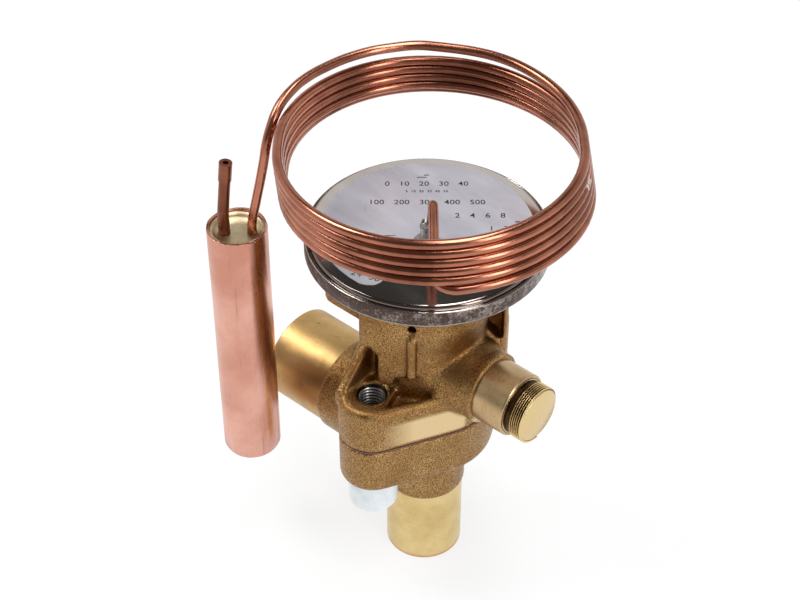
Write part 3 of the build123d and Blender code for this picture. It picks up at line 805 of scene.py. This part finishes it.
# The drawn tube of the bulb: slightly dented, with an uneven upper edge.
def bulbShell():
    r, low, top, bore = bulb["radius"], bulb["bottom"], bulb["top"], bulb["radius"] - bulb["wall"]
    section = [(0, low), (r - 1.8, low), (r - 0.6, low + 0.5), (r, low + 1.8)]
    section += [(r, low + 10 + 8 * i) for i in range(10)]
    section += [(r, top - 1.2), (r - 0.05, top), (r - 0.9, top)]
    section += [(bore, top - 1.2), (bore, top - 5), (0, top - 5)]
    bm = lathe(section, 96)
    for vert in bm.verts:
        wave = noise.noise(Vector([part * count for part, count in zip(vert.co, bulb["waves"])]))
        out = Vector((vert.co.x, vert.co.y, 0))
        if out.length > (bore + 0.25) * mm:
            vert.co -= out.normalized() * abs(wave) * bulb["dent"]
        if vert.co.z > (top - 0.5) * mm:
            vert.co.z += (noise.noise(vert.co * bulb["edgeWaves"]) - 0.5) * bulb["edgeWave"]
    bmesh.ops.transform(bm, matrix=bulbPlace, verts=bm.verts)
    addPiece(bm, "bulbShell", "bulb", "valve_body", replaces=["bulb_shell"], bevel=0.1 * mm)


def bulbCap():
    section = [(0, 124), (7, 124), (8.5, 123), (8.55, 127.2), (7.9, 127.2), (7.3, 126.2)]
    section += [(6.5, 125.5), (4, 125.25), (2, 125.1), (0, 125.0)]
    bm = lathe(section, 64, bulbPlace)
    addPiece(bm, "bulbCap", "capBrass", "valve_body", replaces=["bulb_cap"])


bulbShell()
bulbCap()

cap = {"bottom": 38, "top": 49.9, "outer": 7.9, "bore": 6.6, "floor": 40.5}


def boltCap():
    low, top, outer, bore, floor = (cap[key] for key in ("bottom", "top", "outer", "bore", "floor"))
    section = [(0, low), (6.4, low), (7.3, low + 0.35), (outer, low + 1.2), (outer, top)]
    return lathe(section + [(bore, top), (bore, floor), (0, floor)], 72)


addPiece(
    onBothLugs(boltCap), "boltCaps", "cap", "valve_body", replaces=["bolt_caps"],
    bevel=0.2 * mm)
print("bulb and caps made")

# The CAD meshes that stay in view, or show when a piece moves, only get their finish.
nodeFinishes = {
    "body_gasket": "gasket", "cage_gasket": "gasket", "orifice_cage": "turned",
    "plug_seal": "rubber", "stem_seal": "rubber", "spindle_packing": "cap", "gland_nut": "turnedX",
    "adjusting_spindle": "insert", "adjusting_gear": "turned", "spring_seat": "turned",
    "stem_guide": "turned",
    "superheat_spring": "insert", "spring_plate": "turned", "thrust_pad": "turned", "valve_stem": "insert",
    "flange_bolts": "insert", "head_lower_cup": "steel", "diaphragm": "steel", "fill_stub": "stub",
    "stub_ferrule": "stub",
}
for node, finish in nodeFinishes.items():
    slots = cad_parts[node].data.materials
    slots.clear()
    slots.append(finishes[finish])

view = {
    "azimuth": math.radians(41.5), "pitch": math.radians(40.87), "place": (0.2732, -0.3212, 0.4708),
    "lens": 81.0, "sensor": 36, "near": 0.01,
}


def setCamera():
    data = bpy.data.cameras.new("camera")
    data.lens = view["lens"]
    data.sensor_width = view["sensor"]
    data.clip_start = view["near"]
    camera = bpy.data.objects.new("camera", data)
    camera.location = view["place"]
    camera.rotation_euler = (math.pi / 2 - view["pitch"], 0, view["azimuth"])
    bpy.context.scene.collection.objects.link(camera)
    bpy.context.scene.camera = camera


setCamera()


studio = {
    "even": 0.45, "pale": 0.8, "dark": 0.05, "card": 0.16, "paleBelow": 0.60, "darkAbove": 0.70,
    "cardWay": (0.649, 0.761), "cardSide": (0.15, 0.45), "cardFoot": (0.02, 0.12),
    "floorHalf": 4, "floorHeight": -0.0002, "floorGlow": 0.8,
    "lamps": [
        ("keySoftbox", (-0.5, -0.35, 1.0), (0.4, 0.4), 6.5),
        ("topSoftbox", (0.1, 0.1, 1.1), (0.9, 0.26), 6.8),
        ("sideSoftbox", (0.95, -0.15, 0.5), (0.25, 0.8), 4),
    ],
}


def areaLight(name, place, size, power, target=(0, 0, 0.09)):
    data = bpy.data.lights.new(name, "AREA")
    data.shape = "RECTANGLE"
    data.size, data.size_y = size
    data.energy = power
    lamp = bpy.data.objects.new(name, data)
    lamp.location = place
    lamp.rotation_euler = (Vector(target) - Vector(place)).to_track_quat("-Z", "Y").to_euler()
    bpy.context.scene.collection.objects.link(lamp)


# A white floor that keeps a soft shadow. To the camera and in mirrors it is mostly its own light.
def setFloor():
    bm = bmesh.new()
    bmesh.ops.create_grid(bm, x_segments=1, y_segments=1, size=studio["floorHalf"])
    bmesh.ops.translate(bm, verts=bm.verts, vec=(0, 0, studio["floorHeight"]))
    mesh = bpy.data.meshes.new("floor")
    bm.to_mesh(mesh)
    bm.free()
    floor = bpy.data.objects.new("floor", mesh)
    bpy.context.scene.collection.objects.link(floor)
    finish = Finish("floorWhite", Roughness=0.9)
    finish.shader.inputs["Base Color"].default_value = (0.9, 0.9, 0.9, 1)
    seen = finish.ray("Is Camera Ray").above(finish.ray("Is Glossy Ray"))
    seen = seen.above(finish.ray("Is Transmission Ray"))
    lit = Value(finish, finish.shader.outputs[0])
    glow = finish.make("ShaderNodeEmission")
    mix = finish.make("ShaderNodeMixShader", inputs=[seen * studio["floorGlow"], lit, glow])
    finish.tree.links.new(mix.socket, finish.tree.nodes["Material Output"].inputs[0])
    mesh.materials.append(finish.material)


# Even light all round. Metal mirrors a room that is pale low down, dark higher up, with a dark card in front.
def setWorld():
    world = bpy.data.worlds.new("studio")
    world.use_nodes = True
    bpy.context.scene.world = world
    room = Nodes(world.node_tree)
    across, along, height = room.parts(room.make("ShaderNodeTexCoord", output="Generated"))
    mirrored = room.spread(height, studio["paleBelow"], studio["darkAbove"], studio["pale"], studio["dark"])
    wayX, wayY = studio["cardWay"]
    card = room.spread(across * wayX - along * wayY, *studio["cardSide"])
    card = card * room.spread(height, *studio["cardFoot"])
    mirrored = mirrored * (1 - card) + card * studio["card"]
    level = room.ray("Is Glossy Ray") * (mirrored - studio["even"]) + studio["even"]
    level = level + room.ray("Is Camera Ray") * (1 - level)
    back = world.node_tree.nodes["Background"]
    world.node_tree.links.new(level.socket, back.inputs["Strength"])
    back.inputs["Color"].default_value = (1, 1, 1, 1)


for lamp in studio["lamps"]:
    areaLight(*lamp)
setFloor()
setWorld()
bpy.context.scene.view_settings.view_transform = "Standard"
print("studio set")
